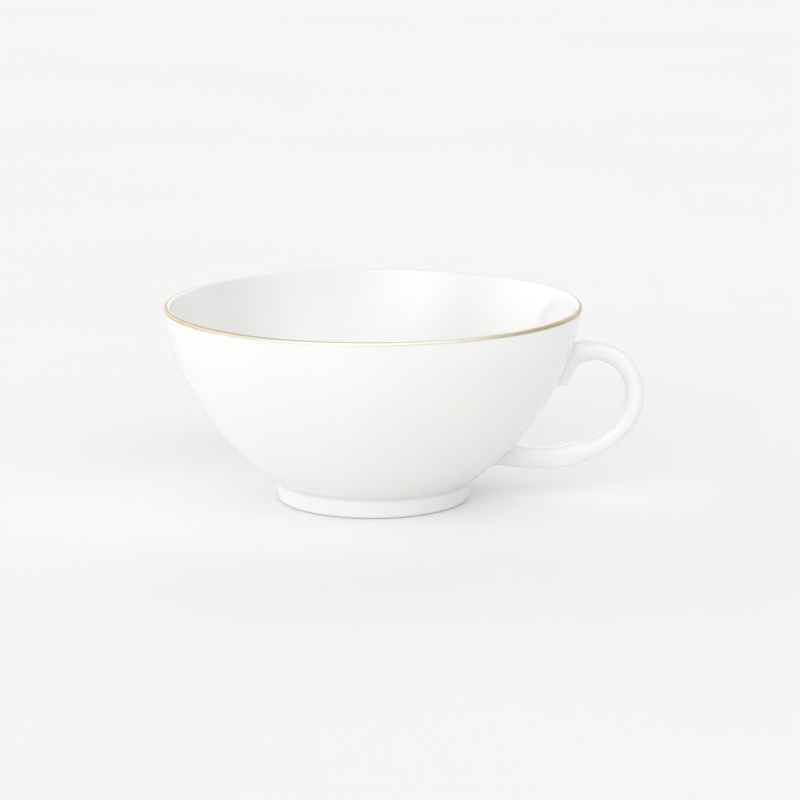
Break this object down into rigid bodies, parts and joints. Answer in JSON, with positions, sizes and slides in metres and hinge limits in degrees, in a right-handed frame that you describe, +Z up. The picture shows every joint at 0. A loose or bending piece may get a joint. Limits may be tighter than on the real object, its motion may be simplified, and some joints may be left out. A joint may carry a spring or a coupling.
{
  "type": "teacup",
  "caption": "Low wide glazed porcelain teacup with a small foot ring, a round ring handle with a lug under its upper root, and a gold line on the lip.",
  "frame": {"origin": "centre of the foot ring on the flat face that it stands on", "axes": "+Z up through the middle of the bowl, +X out along the handle, and the handle's plane is XZ"},
  "size_m": [0.1193, 0.1034, 0.0492],
  "materials": {
    "glazed_porcelain": "clear gloss glaze over white hard porcelain, bare and matt on the foot's resting face",
    "glazed_slip": "fired slip of the same porcelain, under the same gloss glaze",
    "gold_line": "pale polished gold, hand painted with a slightly uneven lower edge"
  },
  "bodies": {
    "root": {"bowl": "glazed_porcelain", "foot_ring": "glazed_porcelain", "handle": "glazed_porcelain", "gold_rim_line": "gold_line", "foot_slip_joint": "glazed_slip", "upper_handle_slip_joint": "glazed_slip", "lower_handle_slip_joint": "glazed_slip"}
  },
  "joints": []
}
